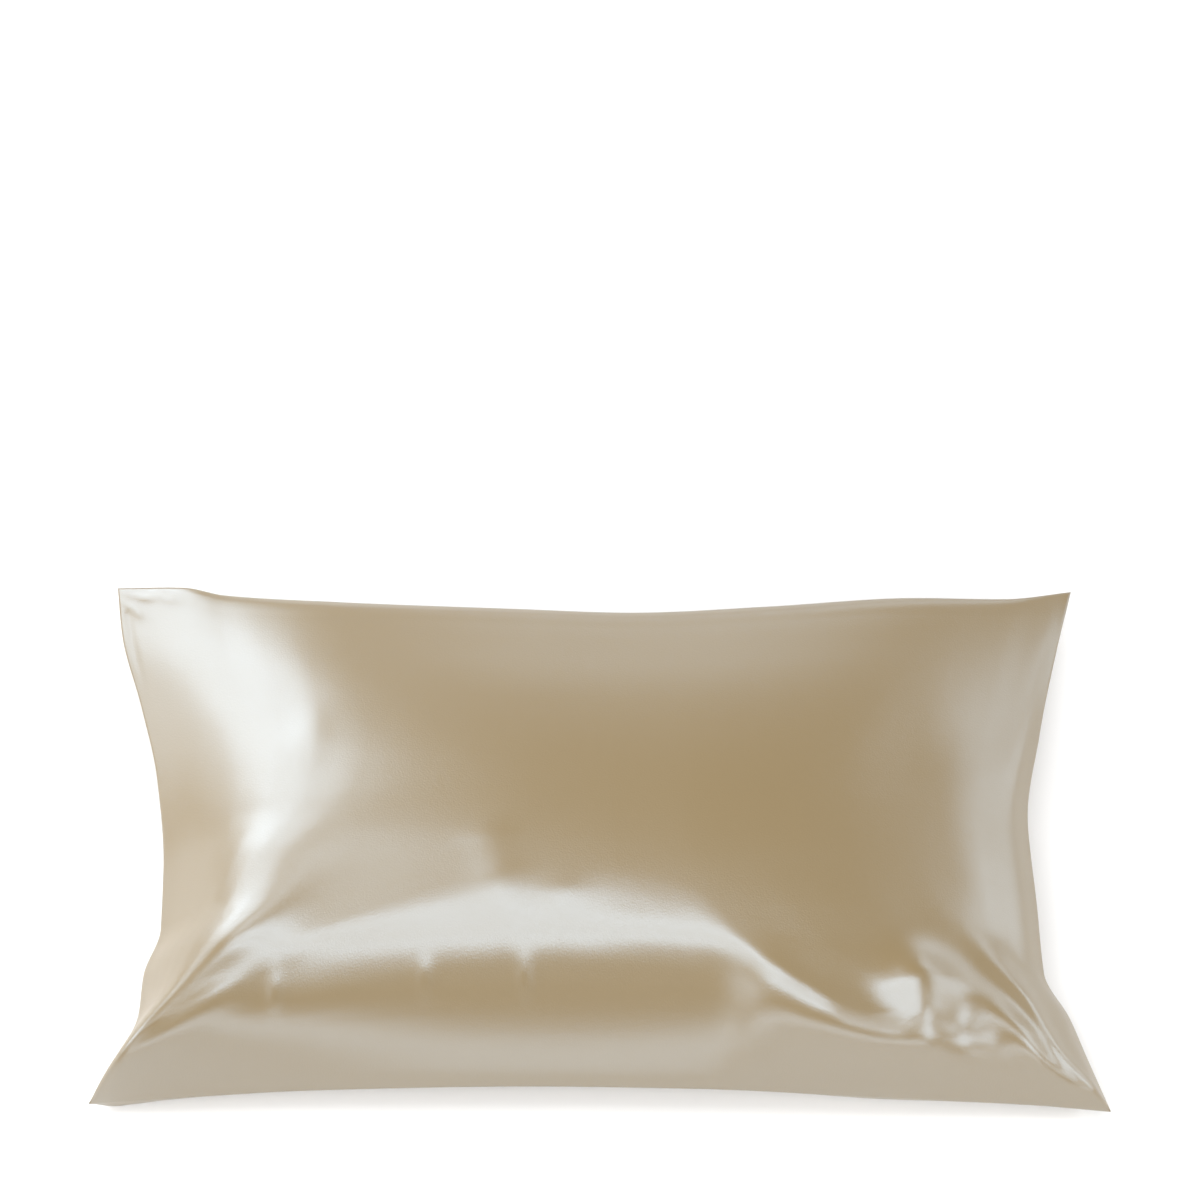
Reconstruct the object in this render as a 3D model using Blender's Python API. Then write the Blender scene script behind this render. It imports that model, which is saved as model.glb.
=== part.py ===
"""A king-size satin pillowcase, filled, lying on its back with its face up.

Metres, +Z up. X runs along the case, Y across it, and the floor is z = 0. The origin is under the
middle of the case. The face is the top side: it is fullest behind a round shoulder along the case's
lower long side (-Y), where the filling has settled, and its corners are pulled out into flat ears,
with folds that run from them into the face.
"""

import math

import bmesh
import bpy
import numpy as np
from mathutils import Vector

CM = 0.01

# The flat case is cut 91 x 51 cm (20 x 36 in). Filled, its sides draw in between the corners.
FACE_CROWN = 7.55 * CM  # how far the face rises over the sheet that spans the seams
BACK_DEPTH = 9.5 * CM  # how far the back would hang under that sheet, if no floor held it up
UPPER_SLOPE = 29 * CM  # how far in from the upper seam the face still rises
SEAM_HALF = 0.1 * CM  # half the thickness of the sewn edge
FLAT_MARGIN = 0.6 * CM  # how softly the back runs out onto the floor
LEAST_LIFT = 0.3 * CM  # what would be closer than this to the floor lies on it, so the case rests steadily
FOLD_EDGE = 0.8 * CM  # how close to the seam the folds die out

COLUMNS, ROWS = 66, 42  # faces of each side of the solid, along X and along Y
EDGE_CROWDING = 0.7  # how much the faces crowd towards the seams, from 0, even, to 1
FOLD_STEPS = 40  # straight steps that a fold's line is measured along
THINNEST_FOLD = 0.8 * CM  # a fold's least half width, because the faces are about this wide

SATIN_COLOUR = (0.60, 0.51, 0.38, 1.0)
SATIN_ROUGHNESS = 0.38

# The seam, in centimetres, from each side's first corner to its last: a smooth curve runs through
# the rows, which give its place in plan and its height over the floor.
LOWER_SEAM = (
    ("x", "y", "height"),
    (-44.5, -24.8, 2.4),
    (-38.1, -24.6, 3.2),
    (-24.0, -24.2, 4.6),
    (-5.5, -24.1, 5.4),
    (8.5, -24.3, 5.4),
    (24.5, -24.8, 4.5),
    (38.5, -25.1, 3.1),
    (45.4, -25.5, 2.4),
)
UPPER_SEAM = (
    ("x", "y", "height"),
    (-45.4, 25.5, 2.9),
    (-38.9, 25.1, 3.8),
    (-35.0, 24.1, 4.2),
    (-24.0, 23.1, 4.8),
    (-7.5, 22.3, 5.0),
    (3.5, 21.9, 5.0),
    (16.5, 22.6, 4.9),
    (28.5, 23.6, 4.6),
    (39.0, 24.0, 3.6),
    (45.3, 25.1, 2.9),
)
LEFT_SEAM = (
    ("x", "y", "height"),
    (-44.5, -24.8, 2.4),
    (-42.2, -20.9, 3.4),
    (-40.4, -17.1, 4.0),
    (-40.1, -13.7, 4.6),
    (-38.8, -9.5, 4.9),
    (-38.9, -4.1, 5.0),
    (-40.1, 5.1, 4.8),
    (-42.1, 12.5, 4.2),
    (-44.5, 20.1, 3.4),
    (-45.4, 25.5, 2.9),
)
RIGHT_SEAM = (
    ("x", "y", "height"),
    (45.4, -25.5, 2.4),
    (43.5, -21.0, 3.4),
    (42.1, -17.5, 4.0),
    (40.0, -13.5, 4.6),
    (39.7, -6.7, 5.0),
    (39.4, 0.4, 5.0),
    (41.1, 9.5, 4.4),
    (43.5, 18.9, 3.4),
    (45.3, 25.1, 2.9),
)

# How far in from the lower seam the crown is reached, in centimetres, against the share of the case's
# length, and how the crown rises over that way and over the upper slope.
SHOULDER = (
    ("along", "from_lower_seam"),
    (0.00, 0.5),
    (0.04, 4.5),
    (0.10, 8.0),
    (0.18, 11.5),
    (0.28, 15.0),
    (0.36, 17.0),
    (0.44, 17.6),
    (0.52, 17.2),
    (0.60, 15.8),
    (0.66, 11.4),
    (0.70, 8.2),
    (0.74, 6.2),
    (0.78, 5.4),
    (0.84, 6.2),
    (0.90, 6.4),
    (0.96, 4.5),
    (1.00, 0.5),
)
BELOW_SHOULDER = (
    ("share_of_way", "share_of_height"),
    (0.00, 0.0),
    (0.04, 0.11),
    (0.12, 0.27),
    (0.24, 0.475),
    (0.35, 0.635),
    (0.46, 0.765),
    (0.57, 0.86),
    (0.69, 0.926),
    (0.80, 0.965),
    (0.90, 0.991),
    (0.97, 0.9992),
    (1.00, 1.0),
)
ABOVE_SHOULDER = (
    ("share_of_way", "share_of_height"),
    (0.00, 0.0),
    (0.02, 0.06),
    (0.08, 0.155),
    (0.15, 0.255),
    (0.29, 0.44),
    (0.43, 0.60),
    (0.57, 0.745),
    (0.71, 0.868),
    (0.84, 0.957),
    (0.93, 0.991),
    (0.98, 0.9992),
    (1.00, 1.0),
)

# How the crown rises from the case's two ends, and how far that reaches, as a multiple, against the
# share of the case's width.
LEFT_END = (
    ("from_side", "share_of_height"),
    (0.0, 0.0),
    (1.0, 0.14),
    (3.0, 0.42),
    (5.0, 0.66),
    (7.0, 0.84),
    (9.0, 0.94),
    (11.5, 0.985),
    (14.0, 0.998),
    (16.0, 1.0),
)
RIGHT_END = (
    ("from_side", "share_of_height"),
    (0.0, 0.0),
    (1.6, 0.23),
    (3.6, 0.38),
    (5.6, 0.50),
    (9.6, 0.64),
    (13.6, 0.75),
    (17.6, 0.85),
    (21.6, 0.92),
    (26.0, 0.965),
    (32.0, 0.993),
    (38.0, 1.0),
)
END_REACH = (
    ("across", "left", "right"),
    (0.00, 0.30, 0.60),
    (0.10, 0.38, 0.68),
    (0.16, 0.46, 0.70),
    (0.22, 0.60, 0.76),
    (0.30, 0.80, 0.90),
    (0.40, 1.10, 1.00),
    (0.50, 1.52, 1.00),
    (0.70, 1.85, 1.00),
    (1.00, 2.00, 1.00),
)

# The face's folds, in centimetres: a line in plan from one end to the other, and the fold's half
# width and its rise at the line's start, middle and end. A trough has a negative rise.
FOLDS = (
    ("name", "line", "half_widths", "rises"),
    ("left fold to the corner", ((-24.0, -2.0), (-26.0, -7.0), (-28.2, -11.0), (-31.4, -14.6), (-34.2, -17.0),
     (-36.8, -18.8), (-39.4, -20.8), (-43.3, -24.2)), (3.6, 2.8, 0.8), (0.0, 1.4, 0.4)),
    ("left valley", ((-22.0, -9.0), (-26.6, -12.4), (-30.9, -15.6), (-33.4, -17.3), (-36.2, -19.2),
     (-38.8, -21.3), (-43.0, -24.2)), (2.0, 1.3, 0.5), (0.0, -0.4, -0.3)),
    ("belly ridge", ((-4.0, -12.4), (3.0, -12.6), (9.0, -13.2), (13.0, -14.4)),
     (2.2, 2.0, 2.0), (0.0, 0.15, 0.1)),
    ("right bulge", ((13.0, -14.6), (16.6, -19.0), (19.6, -21.2), (23.5, -22.4), (28.5, -22.8)),
     (2.8, 2.6, 1.8), (0.0, 0.9, 0.4)),
    ("right trough", ((22.5, -9.0), (23.2, -13.0), (23.6, -17.0), (23.8, -19.4)),
     (3.4, 3.2, 2.6), (0.0, -0.2, -0.2)),
    ("right upright fold", ((26.8, -11.0), (28.2, -15.5), (28.6, -19.5), (28.6, -22.0)),
     (2.4, 2.6, 1.6), (0.0, 1.1, 0.4)),
    ("right dimple", ((31.0, -17.0), (31.6, -20.0), (32.6, -23.0)), (1.8, 1.8, 1.4), (0.0, -0.5, -0.2)),
    ("right fold to the corner", ((31.0, -16.6), (34.2, -18.2), (36.6, -20.4), (38.8, -22.8),
     (41.5, -24.1), (45.0, -25.0)), (1.8, 1.3, 0.4), (0.2, 1.0, 0.3)),
    ("right edge to the corner", ((27.0, -8.0), (31.2, -11.2), (34.8, -14.0), (37.6, -17.0),
     (39.4, -19.8), (41.2, -22.2), (43.7, -24.1)), (2.4, 1.3, 0.5), (0.0, 0.7, 0.3)),
    ("right lower fold", ((15.2, -12.8), (14.8, -17.6), (14.0, -22.4)), (2.4, 2.6, 2.2), (0.0, 0.6, 0.7)),
    ("first short crease", ((-27.2, -14.6), (-27.4, -17.4), (-27.9, -21.0)),
     (0.8, 0.7, 0.6), (0.0, 0.2, 0.0)),
    ("second short crease", ((-14.6, -14.0), (-14.6, -16.6), (-14.5, -19.2)),
     (0.8, 0.7, 0.6), (0.0, 0.18, 0.0)),
    ("third short crease", ((-6.1, -13.6), (-6.0, -16.5), (-5.9, -19.4)),
     (0.8, 0.7, 0.6), (0.0, 0.2, 0.0)),
    ("left swell", ((-10.0, -4.1), (-8.2, -9.1), (-7.2, -12.9)), (2.2, 2.2, 2.0), (0.0, 0.18, 0.05)),
    ("middle swell", ((-3.0, -6.6), (-2.8, -9.9), (-2.9, -12.9)), (1.8, 1.8, 1.8), (0.0, 0.12, 0.05)),
    ("right shoulder", ((35.5, 17.9), (33.0, 8.9), (32.0, 0.9), (33.5, -6.1)),
     (3.0, 3.5, 3.0), (0.0, 0.25, 0.05)),
)


def column(table, name):
    """One named column of a table whose first row holds the names."""
    return np.array([row[table[0].index(name)] for row in table[1:]], float)


def shares(points):
    """How far along a line of points each one lies, in plan, from 0 to 1."""
    steps = np.linalg.norm(np.diff(points[:, :2], axis=0), axis=1)
    return np.concatenate([[0.0], np.cumsum(steps)]) / steps.sum()


def curve_through(knots, values, at):
    """Values on a smooth curve that passes through the knots and never swings past them."""
    values = values.reshape(len(knots), -1)
    gap = np.diff(knots)[:, None]
    grade = np.diff(values, axis=0) / gap
    before, after = grade[:-1], grade[1:]
    one_way = before * after > 0
    mixed = (2 * gap[1:] + gap[:-1]) / np.where(one_way, before, 1) + (gap[1:] + 2 * gap[:-1]) / np.where(
        one_way, after, 1
    )
    middle = np.where(one_way, 3 * (gap[1:] + gap[:-1]) / mixed, 0)
    slope = np.concatenate([grade[:1], middle, grade[-1:]])
    at = np.clip(at, knots[0], knots[-1])
    i = np.clip(np.searchsorted(knots, at, side="right") - 1, 0, len(knots) - 2)
    u = ((at - knots[i]) / (knots[i + 1] - knots[i]))[..., None]
    return (
        values[i] * (1 + 2 * u) * (1 - u) ** 2
        + values[i + 1] * u**2 * (3 - 2 * u)
        + slope[i] * gap[i] * u * (1 - u) ** 2
        - slope[i + 1] * gap[i] * u**2 * (1 - u)
    )


def profile(table, knot, value, at):
    """A named column of a table against another, on a smooth curve."""
    return curve_through(column(table, knot), column(table, value), at)[..., 0]


def seam_curve(table, at):
    """Points of a seam at each share of its length, in metres."""
    points = np.array(table[1:], float) * CM
    return curve_through(shares(points), points, at)


def seam_sheet(s, t):
    """The smooth sheet that spans the four seams: s runs along X and t along Y, each from 0 to 1."""
    lower, upper = seam_curve(LOWER_SEAM, s), seam_curve(UPPER_SEAM, s)
    left, right = seam_curve(LEFT_SEAM, t), seam_curve(RIGHT_SEAM, t)
    across, along = t[:, None, None], s[None, :, None]
    sides = (1 - along) * left[:, None] + along * right[:, None]
    ends = (1 - across) * lower[None] + across * upper[None]
    corners = (1 - across) * ((1 - along) * left[0] + along * right[0]) + across * (
        (1 - along) * left[-1] + along * right[-1]
    )
    return sides + ends - corners


def from_seams(sheet, s, t):
    """How far each point of the sheet lies from the left, right, lower and upper seam, in metres."""
    length = np.linalg.norm(sheet[:, -1, :2] - sheet[:, 0, :2], axis=1)[:, None]
    width = np.linalg.norm(sheet[-1, :, :2] - sheet[0, :, :2], axis=1)[None, :]
    s, t = s[None, :], t[:, None]
    return s * length, (1 - s) * length, t * width, (1 - t) * width


def fullness(sheet, s, t):
    """The share of the crown at each point of the sheet: 0 on the seams, 1 where the case is fullest."""
    left, right, lower, upper = from_seams(sheet, s, t)
    left_reach, right_reach = (profile(END_REACH, "across", side, t)[:, None] for side in ("left", "right"))
    ends = profile(LEFT_END, "from_side", "share_of_height", left / CM / left_reach)
    ends = ends * profile(RIGHT_END, "from_side", "share_of_height", right / CM / right_reach)
    shoulder = profile(SHOULDER, "along", "from_lower_seam", s)[None, :] * CM
    below = profile(BELOW_SHOULDER, "share_of_way", "share_of_height", lower / shoulder)
    above = profile(ABOVE_SHOULDER, "share_of_way", "share_of_height", upper / UPPER_SLOPE)
    return ends * below * above


def fold_relief(x, y, thinnest):
    """How far the folds lift or sink the face at each point in plan."""
    relief = np.zeros_like(x)
    for name, line, half_widths, rises in FOLDS[1:]:
        points = np.array(line) * CM
        route = curve_through(shares(points), points, np.linspace(0, 1, FOLD_STEPS + 1))
        nearest, place = np.full(x.shape, np.inf), np.zeros(x.shape)
        for step, (start, end) in enumerate(zip(route[:-1], route[1:])):
            run = end - start
            on_step = np.clip(((x - start[0]) * run[0] + (y - start[1]) * run[1]) / (run @ run), 0, 1)
            gap = np.hypot(x - start[0] - on_step * run[0], y - start[1] - on_step * run[1])
            place = np.where(gap < nearest, (step + on_step) / FOLD_STEPS, place)
            nearest = np.minimum(gap, nearest)
        place = (1 - np.cos(math.pi * place)) / 2  # a fold starts and ends softly
        marks = np.array([0.0, 0.5, 1.0])
        half_width = np.maximum(curve_through(marks, np.array(half_widths) * CM, place)[..., 0], thinnest)
        rise = curve_through(marks, np.array(rises) * CM, place)[..., 0]
        relief += rise * np.exp(-((nearest / half_width) ** 2))
    return relief


def crowded(count):
    """Shares from 0 to 1 that lie closer together near both ends."""
    even = np.linspace(0, 1, count + 1)
    return (1 - EDGE_CROWDING) * even + EDGE_CROWDING * (1 - np.cos(math.pi * even)) / 2


def above_floor(height):
    """The back's height where the floor holds it up: flat on the floor, then softly off it."""
    eased = np.clip(height + FLAT_MARGIN, 0, None) ** 2 / (4 * FLAT_MARGIN)
    lift = np.where(height > FLAT_MARGIN, height, eased)
    return np.where(lift < LEAST_LIFT, 0, lift)


def case_sides(s, t, thinnest):
    """The face's and the back's points, each as rows of points from the lower seam to the upper."""
    sheet = seam_sheet(s, t)
    full = fullness(sheet, s, t)
    to_seam = np.minimum.reduce(np.broadcast_arrays(*from_seams(sheet, s, t)))
    folds = (1 - np.exp(-to_seam / FOLD_EDGE)) * fold_relief(sheet[..., 0], sheet[..., 1], thinnest)
    face, back = sheet.copy(), sheet.copy()
    face[..., 2] += SEAM_HALF + FACE_CROWN * full + folds
    back[..., 2] = above_floor(sheet[..., 2] - SEAM_HALF - BACK_DEPTH * full)
    return face, back


def satin():
    material = bpy.data.materials.new("champagne_satin")
    material.use_nodes = True
    shader = material.node_tree.nodes["Principled BSDF"]
    shader.inputs["Base Color"].default_value = SATIN_COLOUR
    shader.inputs["Roughness"].default_value = SATIN_ROUGHNESS
    return material


def side_faces(bm, points, middles):
    """Two triangles for each cell of the grid of points, cut the way that lies nearest the cell's middle.

    Returns the loop of vertices round the grid.
    """
    grid = [[bm.verts.new(Vector(point)) for point in row] for row in points]
    for up, row in enumerate(middles):
        for along, middle in enumerate(row):
            near, right = grid[up][along], grid[up][along + 1]
            far, left = grid[up + 1][along + 1], grid[up + 1][along]
            middle = Vector(middle)
            slant = ((near.co + far.co) / 2 - middle).length
            other_slant = ((right.co + left.co) / 2 - middle).length
            cuts = [(near, right, far), (near, far, left)]
            if other_slant < slant:
                cuts = [(near, right, left), (right, far, left)]
            for corners in cuts:
                bm.faces.new(corners)
    right_end = [row[-1] for row in grid[1:]]
    left_end = [row[0] for row in grid[-2:0:-1]]
    return grid[0] + right_end + grid[-1][-2::-1] + left_end


def pillowcase():
    s, t = crowded(COLUMNS), crowded(ROWS)
    sides = case_sides(s, t, THINNEST_FOLD)
    middles = case_sides((s[:-1] + s[1:]) / 2, (t[:-1] + t[1:]) / 2, THINNEST_FOLD)
    bm = bmesh.new()
    face_rim, back_rim = (side_faces(bm, *side) for side in zip(sides, middles))
    for i, top in enumerate(face_rim):
        bm.faces.new((face_rim[i - 1], top, back_rim[i], back_rim[i - 1]))
    bmesh.ops.recalc_face_normals(bm, faces=bm.faces)
    mesh = bpy.data.meshes.new("pillowcase")
    bm.to_mesh(mesh)
    bm.free()
    mesh.shade_smooth()
    case = bpy.data.objects.new("pillowcase", mesh)
    bpy.context.scene.collection.objects.link(case)
    case.data.materials.append(satin())
    return case


def main():
    for old in list(bpy.data.objects):
        bpy.data.objects.remove(old)
    pillowcase()


main()
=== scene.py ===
"""The satin pillowcase, dressed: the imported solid's own shape drawn finely, in satin, on a pale floor.

Metres, +Z up. X runs along the case, Y across it, and the floor is z = 0. The shape's named sizes are
the ones that the solid is built from. Here its folds keep their true widths, and the face gets the
slack cloth's shallow swells, its finest pleats and the line of its hem.
"""

import math

import bmesh
import bpy
import numpy as np
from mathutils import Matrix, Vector


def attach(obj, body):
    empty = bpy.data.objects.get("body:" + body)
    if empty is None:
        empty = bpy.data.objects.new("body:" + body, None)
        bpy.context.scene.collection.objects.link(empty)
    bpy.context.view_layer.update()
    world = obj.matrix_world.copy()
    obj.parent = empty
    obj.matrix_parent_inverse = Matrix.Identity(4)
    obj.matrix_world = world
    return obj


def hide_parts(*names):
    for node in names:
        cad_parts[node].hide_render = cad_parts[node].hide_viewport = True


CM = 0.01
MM = 0.001

# The flat case is cut 91 x 51 cm (20 x 36 in). Filled, its sides draw in between the corners.
FACE_CROWN = 7.55 * CM  # how far the face rises over the sheet that spans the seams
BACK_DEPTH = 9.5 * CM  # how far the back would hang under that sheet, if no floor held it up
UPPER_SLOPE = 29 * CM  # how far in from the upper seam the face still rises
SEAM_HALF = 0.1 * CM  # half the thickness of the sewn edge
FLAT_MARGIN = 0.6 * CM  # how softly the back runs out onto the floor
FOLD_EDGE = 0.8 * CM  # how close to the seam the folds die out

COLUMNS, ROWS = 288, 164  # faces of each side, along X and along Y, about 3 mm each
EDGE_CROWDING = 0.35  # how much the faces crowd towards the seams, from 0, even, to 1
FOLD_STEPS = 40  # straight steps that a fold's line is measured along

# Champagne polyester satin. The dye alone is a deep gold, and the floats' gloss lies over it.
SATIN_DYE = "8C754A"
SATIN_SHEEN = "CEE8FF"  # the gloss is cool, so that bright cloth looks silvery rather than golden
SATIN_ROUGHNESS = 0.31  # plain cloth is near 0.8, and satin's long floats blur a lamp far less
SATIN_IOR = 2.45  # polyester is 1.6, and the floats' many surfaces together throw back more
GRAIN_SIZE = 1.6 * MM  # the floats lie about 0.2 mm apart, too fine to show, so they are drawn coarser
GRAIN_DEPTH = 0.12 * MM
GRAIN_DETAIL = 2.0
GRAIN_ROUGHNESS = 0.6
PAPER_WHITE = "F2F2F2"
PAPER_ROUGHNESS = 0.9
FLOOR_SIZE = 14.0
FLOOR_GAP = 0.0005  # how far the floor lies under the case, so that their faces don't meet

# The camera looks steeply down at the face, at the photo's angle to it.
CAMERA_LENS_MM, CAMERA_SENSOR_MM = 90, 36
CAMERA_PLACE = (0.005, -1.007, 2.592)
CAMERA_TILT_DEG = 26

# Every softbox is aimed at the middle of the case. The two key boxes behind its left end give the shine
# beside that end, and the overhead boxes give the shine along the shoulder.
CASE_MIDDLE = (0, 0, 0.1)
ROOM_BRIGHTNESS = 0.25
SOFTBOXES = (
    ("name", "place", "width", "height", "brightness"),
    ("key_low", (-1.26, 1.61, 0.57), 1.25, 0.62, 6.3),
    ("key_high", (-1.08, 1.39, 1.24), 1.25, 0.66, 4.1),
    ("key_side", (-1.8, 0.8, 0.82), 0.8, 1.0, 2.1),
    ("left", (-1.94, -0.34, 0.82), 1.3, 1.0, 4.2),
    ("top_left", (-0.74, 0.74, 1.92), 0.9, 0.6, 3.1),
    ("overhead", (0.0, -0.1, 2.25), 1.8, 0.4, 5.8),
    ("overhead_near", (0.0, -0.5, 2.25), 1.8, 0.4, 1.9),
    ("overhead_front", (0.0, -0.95, 2.25), 1.8, 0.45, 5.5),
    ("front_low", (0.0, -2.17, 0.48), 2.6, 0.6, 2.3),
    ("front_left", (-1.46, -1.22, 1.2), 1.2, 1.3, 1.4),
    ("front_right", (1.46, -1.22, 1.2), 1.2, 1.3, 3.2),
    ("right", (1.99, 0.17, 0.75), 1.4, 1.1, 2.4),
    ("back_right", (1.5, 1.35, 0.68), 1.0, 0.9, 1.9),
    ("back", (0.43, 2.03, 0.39), 1.4, 0.35, 2.3),
)

# The seam, in centimetres, from each side's first corner to its last: a smooth curve runs through
# the rows, which give its place in plan and its height over the floor.
LOWER_SEAM = (
    ("x", "y", "height"),
    (-44.5, -24.8, 2.4),
    (-38.1, -24.6, 3.2),
    (-24.0, -24.2, 4.6),
    (-5.5, -24.1, 5.4),
    (8.5, -24.3, 5.4),
    (24.5, -24.8, 4.5),
    (38.5, -25.1, 3.1),
    (45.4, -25.5, 2.4),
)
UPPER_SEAM = (
    ("x", "y", "height"),
    (-45.4, 25.5, 2.9),
    (-38.9, 25.1, 3.8),
    (-35.0, 24.1, 4.2),
    (-24.0, 23.1, 4.8),
    (-7.5, 22.3, 5.0),
    (3.5, 21.9, 5.0),
    (16.5, 22.6, 4.9),
    (28.5, 23.6, 4.6),
    (39.0, 24.0, 3.6),
    (45.3, 25.1, 2.9),
)
LEFT_SEAM = (
    ("x", "y", "height"),
    (-44.5, -24.8, 2.4),
    (-42.2, -20.9, 3.4),
    (-40.4, -17.1, 4.0),
    (-40.1, -13.7, 4.6),
    (-38.8, -9.5, 4.9),
    (-38.9, -4.1, 5.0),
    (-40.1, 5.1, 4.8),
    (-42.1, 12.5, 4.2),
    (-44.5, 20.1, 3.4),
    (-45.4, 25.5, 2.9),
)
RIGHT_SEAM = (
    ("x", "y", "height"),
    (45.4, -25.5, 2.4),
    (43.5, -21.0, 3.4),
    (42.1, -17.5, 4.0),
    (40.0, -13.5, 4.6),
    (39.7, -6.7, 5.0),
    (39.4, 0.4, 5.0),
    (41.1, 9.5, 4.4),
    (43.5, 18.9, 3.4),
    (45.3, 25.1, 2.9),
)

# How far in from the lower seam the crown is reached, in centimetres, against the share of the case's
# length, and how the crown rises over that way and over the upper slope.
SHOULDER = (
    ("along", "from_lower_seam"),
    (0.00, 0.5),
    (0.04, 4.5),
    (0.10, 8.0),
    (0.18, 11.5),
    (0.28, 15.0),
    (0.36, 17.0),
    (0.44, 17.6),
    (0.52, 17.2),
    (0.60, 15.8),
    (0.66, 11.4),
    (0.70, 8.2),
    (0.74, 6.2),
    (0.78, 5.4),
    (0.84, 6.2),
    (0.90, 6.4),
    (0.96, 4.5),
    (1.00, 0.5),
)
BELOW_SHOULDER = (
    ("share_of_way", "share_of_height"),
    (0.00, 0.0),
    (0.04, 0.11),
    (0.12, 0.27),
    (0.24, 0.475),
    (0.35, 0.635),
    (0.46, 0.765),
    (0.57, 0.86),
    (0.69, 0.926),
    (0.80, 0.965),
    (0.90, 0.991),
    (0.97, 0.9992),
    (1.00, 1.0),
)
ABOVE_SHOULDER = (
    ("share_of_way", "share_of_height"),
    (0.00, 0.0),
    (0.02, 0.06),
    (0.08, 0.155),
    (0.15, 0.255),
    (0.29, 0.44),
    (0.43, 0.60),
    (0.57, 0.745),
    (0.71, 0.868),
    (0.84, 0.957),
    (0.93, 0.991),
    (0.98, 0.9992),
    (1.00, 1.0),
)

# How the crown rises from the case's two ends, and how far that reaches, as a multiple, against the
# share of the case's width.
LEFT_END = (
    ("from_side", "share_of_height"),
    (0.0, 0.0),
    (1.0, 0.14),
    (3.0, 0.42),
    (5.0, 0.66),
    (7.0, 0.84),
    (9.0, 0.94),
    (11.5, 0.985),
    (14.0, 0.998),
    (16.0, 1.0),
)
RIGHT_END = (
    ("from_side", "share_of_height"),
    (0.0, 0.0),
    (1.6, 0.23),
    (3.6, 0.38),
    (5.6, 0.50),
    (9.6, 0.64),
    (13.6, 0.75),
    (17.6, 0.85),
    (21.6, 0.92),
    (26.0, 0.965),
    (32.0, 0.993),
    (38.0, 1.0),
)
END_REACH = (
    ("across", "left", "right"),
    (0.00, 0.30, 0.60),
    (0.10, 0.38, 0.68),
    (0.16, 0.46, 0.70),
    (0.22, 0.60, 0.76),
    (0.30, 0.80, 0.90),
    (0.40, 1.10, 1.00),
    (0.50, 1.52, 1.00),
    (0.70, 1.85, 1.00),
    (1.00, 2.00, 1.00),
)

# The face's folds, in centimetres: a line in plan from one end to the other, and the fold's half
# width and its rise at the line's start, middle and end. A trough has a negative rise.
FOLDS = (
    ("name", "line", "half_widths", "rises"),
    ("left fold to the corner", ((-24.0, -2.0), (-26.0, -7.0), (-28.2, -11.0), (-31.4, -14.6), (-34.2, -17.0),
     (-36.8, -18.8), (-39.4, -20.8), (-43.3, -24.2)), (3.6, 2.8, 0.8), (0.0, 1.4, 0.4)),
    ("left valley", ((-22.0, -9.0), (-26.6, -12.4), (-30.9, -15.6), (-33.4, -17.3), (-36.2, -19.2),
     (-38.8, -21.3), (-43.0, -24.2)), (2.0, 1.3, 0.5), (0.0, -0.4, -0.3)),
    ("belly ridge", ((-4.0, -12.4), (3.0, -12.6), (9.0, -13.2), (13.0, -14.4)),
     (2.2, 2.0, 2.0), (0.0, 0.15, 0.1)),
    ("right bulge", ((13.0, -14.6), (16.6, -19.0), (19.6, -21.2), (23.5, -22.4), (28.5, -22.8)),
     (2.8, 2.6, 1.8), (0.0, 0.9, 0.4)),
    ("right trough", ((22.5, -9.0), (23.2, -13.0), (23.6, -17.0), (23.8, -19.4)),
     (3.4, 3.2, 2.6), (0.0, -0.2, -0.2)),
    ("right upright fold", ((26.8, -11.0), (28.2, -15.5), (28.6, -19.5), (28.6, -22.0)),
     (2.4, 2.6, 1.6), (0.0, 1.1, 0.4)),
    ("right dimple", ((31.0, -17.0), (31.6, -20.0), (32.6, -23.0)), (1.8, 1.8, 1.4), (0.0, -0.5, -0.2)),
    ("right fold to the corner", ((31.0, -16.6), (34.2, -18.2), (36.6, -20.4), (38.8, -22.8),
     (41.5, -24.1), (45.0, -25.0)), (1.8, 1.3, 0.4), (0.2, 1.0, 0.3)),
    ("right edge to the corner", ((27.0, -8.0), (31.2, -11.2), (34.8, -14.0), (37.6, -17.0),
     (39.4, -19.8), (41.2, -22.2), (43.7, -24.1)), (2.4, 1.3, 0.5), (0.0, 0.7, 0.3)),
    ("right lower fold", ((15.2, -12.8), (14.8, -17.6), (14.0, -22.4)), (2.4, 2.6, 2.2), (0.0, 0.6, 0.7)),
    ("first short crease", ((-27.2, -14.6), (-27.4, -17.4), (-27.9, -21.0)),
     (0.8, 0.7, 0.6), (0.0, 0.2, 0.0)),
    ("second short crease", ((-14.6, -14.0), (-14.6, -16.6), (-14.5, -19.2)),
     (0.8, 0.7, 0.6), (0.0, 0.18, 0.0)),
    ("third short crease", ((-6.1, -13.6), (-6.0, -16.5), (-5.9, -19.4)),
     (0.8, 0.7, 0.6), (0.0, 0.2, 0.0)),
    ("left swell", ((-10.0, -4.1), (-8.2, -9.1), (-7.2, -12.9)), (2.2, 2.2, 2.0), (0.0, 0.18, 0.05)),
    ("middle swell", ((-3.0, -6.6), (-2.8, -9.9), (-2.9, -12.9)), (1.8, 1.8, 1.8), (0.0, 0.12, 0.05)),
    ("right shoulder", ((35.5, 17.9), (33.0, 8.9), (32.0, 0.9), (33.5, -6.1)),
     (3.0, 3.5, 3.0), (0.0, 0.25, 0.05)),
)

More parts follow.
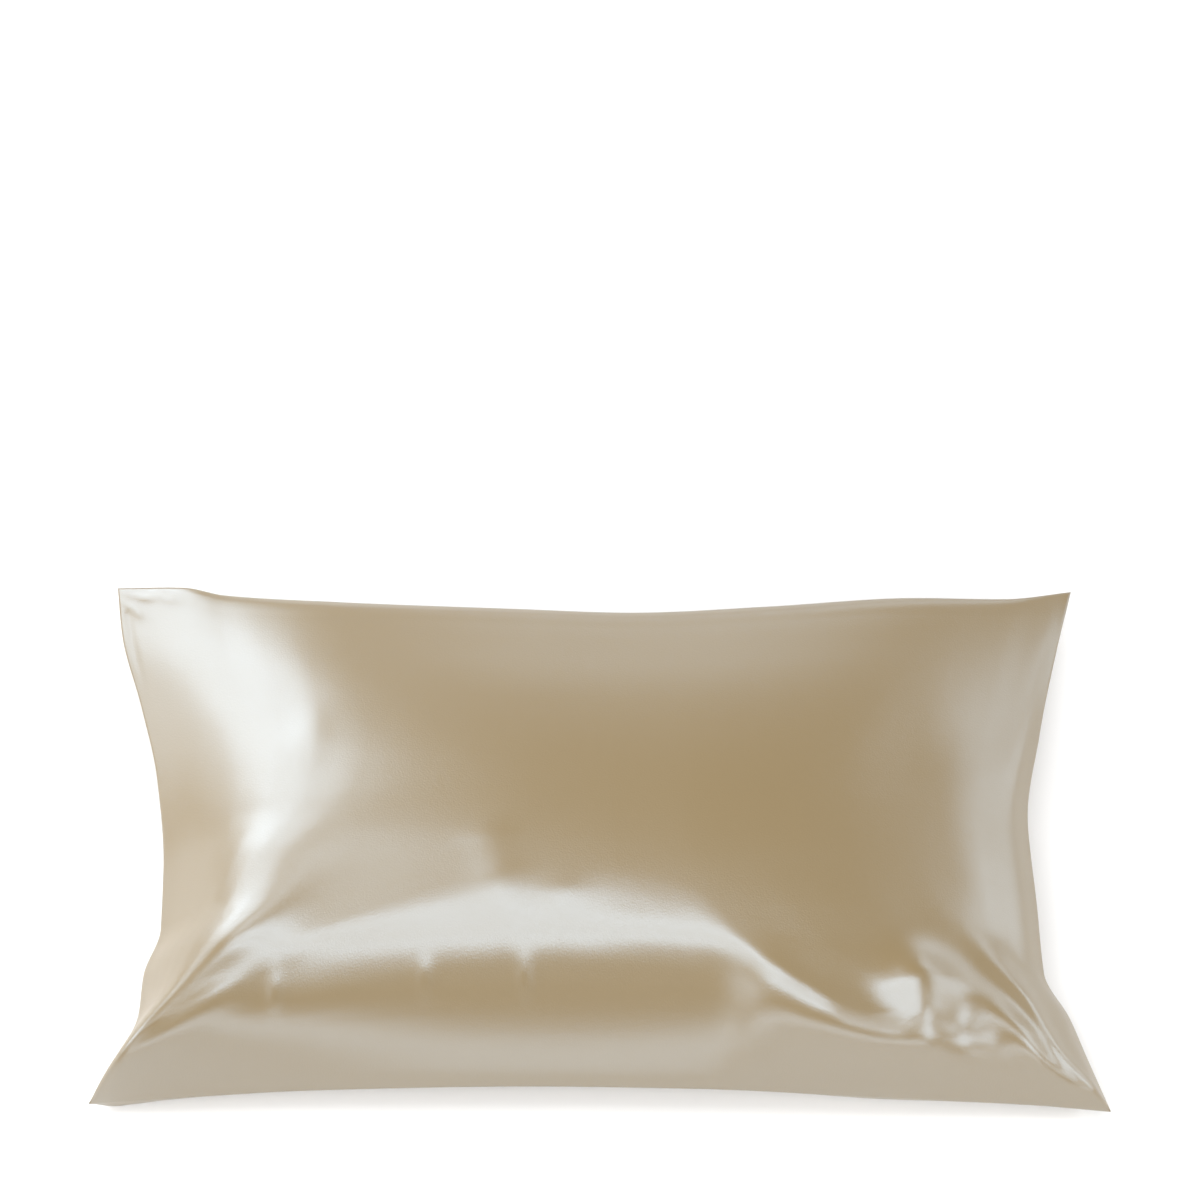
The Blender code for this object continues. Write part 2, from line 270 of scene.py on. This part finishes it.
# The slack cloth's shallow swells and its finest pleats, too slight for the solid, in the same form.
SWELLS = (
    ("name", "line", "half_widths", "rises"),
    ("swell beside the left shine", ((-25.4, 12.0), (-25.8, 6.0), (-26.2, 0.0)), (1.8, 2.0, 1.8), (0.0, 0.16, 0.0)),
    ("tongue over the belly's shine", ((-10.2, -1.5), (-9.4, -4.4), (-9.0, -7.6)), (2.2, 2.2, 1.6), (0.0, 0.13, 0.0)),
    ("pleat under the left corner's band", ((-27.0, -16.0), (-31.5, -18.4), (-35.0, -20.4), (-39.0, -22.8)),
     (1.2, 1.1, 0.6), (0.0, 0.24, 0.1)),
    ("hem line", ((-44.2, 22.6), (-43.5, 19.6), (-42.5, 16.2), (-41.4, 12.6)), (0.3, 0.3, 0.3), (-0.1, -0.1, 0.0)),
    ("first ear pleat", ((-44.6, 24.9), (-43.0, 24.3), (-40.6, 23.6)), (0.4, 0.4, 0.5), (0.1, 0.14, 0.0)),
    ("second ear pleat", ((-44.8, 24.0), (-43.4, 22.8), (-42.0, 21.0)), (0.4, 0.4, 0.5), (0.1, 0.14, 0.0)),
    ("third ear pleat", ((-41.8, 24.9), (-40.6, 23.9), (-38.6, 23.0)), (0.4, 0.4, 0.5), (0.1, 0.12, 0.0)),
)


def column(table, name):
    """One named column of a table whose first row holds the names."""
    return np.array([row[table[0].index(name)] for row in table[1:]], float)


def shares(points):
    """How far along a line of points each one lies, in plan, from 0 to 1."""
    steps = np.linalg.norm(np.diff(points[:, :2], axis=0), axis=1)
    return np.concatenate([[0.0], np.cumsum(steps)]) / steps.sum()


def curve_through(knots, values, at):
    """Values on a smooth curve that passes through the knots and never swings past them."""
    values = values.reshape(len(knots), -1)
    gap = np.diff(knots)[:, None]
    grade = np.diff(values, axis=0) / gap
    before, after = grade[:-1], grade[1:]
    one_way = before * after > 0
    mixed = (2 * gap[1:] + gap[:-1]) / np.where(one_way, before, 1) + (gap[1:] + 2 * gap[:-1]) / np.where(
        one_way, after, 1
    )
    middle = np.where(one_way, 3 * (gap[1:] + gap[:-1]) / mixed, 0)
    slope = np.concatenate([grade[:1], middle, grade[-1:]])
    at = np.clip(at, knots[0], knots[-1])
    i = np.clip(np.searchsorted(knots, at, side="right") - 1, 0, len(knots) - 2)
    u = ((at - knots[i]) / (knots[i + 1] - knots[i]))[..., None]
    return (
        values[i] * (1 + 2 * u) * (1 - u) ** 2
        + values[i + 1] * u**2 * (3 - 2 * u)
        + slope[i] * gap[i] * u * (1 - u) ** 2
        - slope[i + 1] * gap[i] * u**2 * (1 - u)
    )


def profile(table, knot, value, at):
    """A named column of a table against another, on a smooth curve."""
    return curve_through(column(table, knot), column(table, value), at)[..., 0]


def seam_curve(table, at):
    """Points of a seam at each share of its length, in metres."""
    points = np.array(table[1:], float) * CM
    return curve_through(shares(points), points, at)


def seam_sheet(s, t):
    """The smooth sheet that spans the four seams: s runs along X and t along Y, each from 0 to 1."""
    lower, upper = seam_curve(LOWER_SEAM, s), seam_curve(UPPER_SEAM, s)
    left, right = seam_curve(LEFT_SEAM, t), seam_curve(RIGHT_SEAM, t)
    across, along = t[:, None, None], s[None, :, None]
    sides = (1 - along) * left[:, None] + along * right[:, None]
    ends = (1 - across) * lower[None] + across * upper[None]
    corners = (1 - across) * ((1 - along) * left[0] + along * right[0]) + across * (
        (1 - along) * left[-1] + along * right[-1]
    )
    return sides + ends - corners


def from_seams(sheet, s, t):
    """How far each point of the sheet lies from the left, right, lower and upper seam, in metres."""
    length = np.linalg.norm(sheet[:, -1, :2] - sheet[:, 0, :2], axis=1)[:, None]
    width = np.linalg.norm(sheet[-1, :, :2] - sheet[0, :, :2], axis=1)[None, :]
    s, t = s[None, :], t[:, None]
    return s * length, (1 - s) * length, t * width, (1 - t) * width


def fullness(sheet, s, t):
    """The share of the crown at each point of the sheet: 0 on the seams, 1 where the case is fullest."""
    left, right, lower, upper = from_seams(sheet, s, t)
    left_reach, right_reach = (profile(END_REACH, "across", side, t)[:, None] for side in ("left", "right"))
    ends = profile(LEFT_END, "from_side", "share_of_height", left / CM / left_reach)
    ends = ends * profile(RIGHT_END, "from_side", "share_of_height", right / CM / right_reach)
    shoulder = profile(SHOULDER, "along", "from_lower_seam", s)[None, :] * CM
    below = profile(BELOW_SHOULDER, "share_of_way", "share_of_height", lower / shoulder)
    above = profile(ABOVE_SHOULDER, "share_of_way", "share_of_height", upper / UPPER_SLOPE)
    return ends * below * above


def fold_relief(x, y):
    """How far the folds lift or sink the face at each point in plan."""
    relief = np.zeros_like(x)
    for _, line, half_widths, rises in FOLDS[1:] + SWELLS[1:]:
        points = np.array(line) * CM
        route = curve_through(shares(points), points, np.linspace(0, 1, FOLD_STEPS + 1))
        nearest, place = np.full(x.shape, np.inf), np.zeros(x.shape)
        for step, (start, end) in enumerate(zip(route[:-1], route[1:])):
            run = end - start
            on_step = np.clip(((x - start[0]) * run[0] + (y - start[1]) * run[1]) / (run @ run), 0, 1)
            gap = np.hypot(x - start[0] - on_step * run[0], y - start[1] - on_step * run[1])
            place = np.where(gap < nearest, (step + on_step) / FOLD_STEPS, place)
            nearest = np.minimum(gap, nearest)
        place = (1 - np.cos(math.pi * place)) / 2  # a fold starts and ends softly
        marks = np.array([0.0, 0.5, 1.0])
        half_width = curve_through(marks, np.array(half_widths) * CM, place)[..., 0]
        rise = curve_through(marks, np.array(rises) * CM, place)[..., 0]
        relief += rise * np.exp(-((nearest / half_width) ** 2))
    return relief


def crowded(count):
    """Shares from 0 to 1 that lie closer together near both ends."""
    even = np.linspace(0, 1, count + 1)
    return (1 - EDGE_CROWDING) * even + EDGE_CROWDING * (1 - np.cos(math.pi * even)) / 2


def above_floor(height):
    """The back's height where the floor holds it up: flat on the floor, then softly off it."""
    eased = np.clip(height + FLAT_MARGIN, 0, None) ** 2 / (4 * FLAT_MARGIN)
    return np.where(height > FLAT_MARGIN, height, eased)


def case_sides(s, t):
    """The face's and the back's points, each as rows of points from the lower seam to the upper."""
    sheet = seam_sheet(s, t)
    full = fullness(sheet, s, t)
    to_seam = np.minimum.reduce(np.broadcast_arrays(*from_seams(sheet, s, t)))
    folds = (1 - np.exp(-to_seam / FOLD_EDGE)) * fold_relief(sheet[..., 0], sheet[..., 1])
    face, back = sheet.copy(), sheet.copy()
    face[..., 2] += SEAM_HALF + FACE_CROWN * full + folds
    back[..., 2] = above_floor(sheet[..., 2] - SEAM_HALF - BACK_DEPTH * full)
    return face, back


def linear(hexcode):
    """An sRGB hex value as the linear colour that a shader takes."""
    parts = (int(hexcode[i : i + 2], 16) / 255 for i in (0, 2, 4))
    return (*(p / 12.92 if p <= 0.04045 else ((p + 0.055) / 1.055) ** 2.4 for p in parts), 1.0)


def add_node(tree, kind, settings=(), **links):
    """Adds a shader node: settings are its attributes or sockets, links name what each socket takes."""
    node = tree.nodes.new(kind)
    for name, value in dict(settings).items():
        if name in node.inputs:
            node.inputs[name].default_value = value
        else:
            setattr(node, name, value)
    for name, source in links.items():
        tree.links.new(source, node.inputs[name.replace("_", " ")])
    return node


def champagne_satin():
    """Polyester satin, woven with long floats: a golden cloth under a cool, silky gloss, finely sandy
    where the gloss ends."""
    satin = bpy.data.materials.new("champagne_satin")
    satin.use_nodes = True
    tree = satin.node_tree
    shader = tree.nodes["Principled BSDF"]
    settings = {
        "Base Color": linear(SATIN_DYE),
        "Roughness": SATIN_ROUGHNESS,
        "IOR": SATIN_IOR,
        "Specular Tint": linear(SATIN_SHEEN),
    }
    for name, value in settings.items():
        shader.inputs[name].default_value = value
    place = add_node(tree, "ShaderNodeTexCoord")
    grain = add_node(
        tree,
        "ShaderNodeTexNoise",
        {"Scale": 1 / GRAIN_SIZE, "Detail": GRAIN_DETAIL, "Roughness": GRAIN_ROUGHNESS},
        Vector=place.outputs["Object"],
    )
    bump = add_node(
        tree, "ShaderNodeBump", {"Strength": 1.0, "Distance": GRAIN_DEPTH}, Height=grain.outputs["Fac"]
    )
    tree.links.new(bump.outputs["Normal"], shader.inputs["Normal"])
    return satin


def plain_paper():
    """Matt white paper: an even ground with no gloss."""
    paper = bpy.data.materials.new("white_paper")
    paper.use_nodes = True
    shader = paper.node_tree.nodes["Principled BSDF"]
    settings = {"Base Color": linear(PAPER_WHITE), "Roughness": PAPER_ROUGHNESS, "Specular IOR Level": 0.0}
    for name, value in settings.items():
        shader.inputs[name].default_value = value
    return paper


def side_faces(bm, points):
    """Four-sided faces over a grid of points. Returns the loop of vertices round it."""
    grid = [[bm.verts.new(Vector(point)) for point in row] for row in points]
    for near, far in zip(grid, grid[1:]):
        for i in range(len(near) - 1):
            bm.faces.new((near[i], near[i + 1], far[i + 1], far[i]))
    right_end = [row[-1] for row in grid[1:]]
    left_end = [row[0] for row in grid[-2:0:-1]]
    return grid[0] + right_end + grid[-1][-2::-1] + left_end


def filled_case():
    """The case as one closed mesh: face, back and the sewn edge between them."""
    bm = bmesh.new()
    face_rim, back_rim = (side_faces(bm, side) for side in case_sides(crowded(COLUMNS), crowded(ROWS)))
    for i, top in enumerate(face_rim):
        bm.faces.new((face_rim[i - 1], top, back_rim[i], back_rim[i - 1]))
    bmesh.ops.recalc_face_normals(bm, faces=bm.faces)
    mesh = bpy.data.meshes.new("satin_case")
    bm.to_mesh(mesh)
    bm.free()
    mesh.shade_smooth()
    case = bpy.data.objects.new("satin_case", mesh)
    bpy.context.scene.collection.objects.link(case)
    case.data.materials.append(champagne_satin())
    return case


def pale_floor():
    """A wide sheet of white paper under the case."""
    bpy.ops.mesh.primitive_plane_add(size=FLOOR_SIZE, location=(0, 0, -FLOOR_GAP))
    floor = bpy.context.object
    floor.name = "floor"
    floor.data.materials.append(plain_paper())
    return floor


def aim(thing, target):
    """Turns a light towards a point."""
    thing.rotation_euler = (Vector(target) - thing.location).to_track_quat("-Z", "Y").to_euler()


def softboxes():
    """The studio's softboxes. A box's watts follow from its brightness and its area."""
    for name, place, width, height, brightness in SOFTBOXES[1:]:
        box = bpy.data.lights.new(name, "AREA")
        box.shape, box.size, box.size_y = "RECTANGLE", width, height
        box.energy = brightness * math.pi * width * height
        lamp = bpy.data.objects.new(name, box)
        bpy.context.scene.collection.objects.link(lamp)
        lamp.location = place
        lamp.visible_camera = False
        aim(lamp, CASE_MIDDLE)


def studio():
    """The room's even light, the camera and the softboxes."""
    scene = bpy.context.scene
    scene.view_settings.view_transform = "Standard"
    room = bpy.data.worlds.new("studio")
    scene.world = room
    room.use_nodes = True
    backdrop = room.node_tree.nodes["Background"]
    backdrop.inputs["Color"].default_value = (1, 1, 1, 1)
    backdrop.inputs["Strength"].default_value = ROOM_BRIGHTNESS
    lens = bpy.data.cameras.new("camera")
    lens.lens, lens.sensor_width = CAMERA_LENS_MM, CAMERA_SENSOR_MM
    camera = bpy.data.objects.new("camera", lens)
    scene.collection.objects.link(camera)
    camera.location = CAMERA_PLACE
    camera.rotation_euler = (math.radians(CAMERA_TILT_DEG), 0, 0)
    scene.camera = camera
    softboxes()


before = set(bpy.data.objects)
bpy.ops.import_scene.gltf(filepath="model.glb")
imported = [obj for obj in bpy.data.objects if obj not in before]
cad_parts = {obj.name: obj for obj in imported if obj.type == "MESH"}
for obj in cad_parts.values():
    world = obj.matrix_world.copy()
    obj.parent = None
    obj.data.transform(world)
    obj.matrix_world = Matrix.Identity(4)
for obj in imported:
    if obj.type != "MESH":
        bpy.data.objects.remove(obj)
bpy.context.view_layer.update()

case = filled_case()
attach(case, "root")
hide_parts("pillowcase")

pale_floor()
studio()
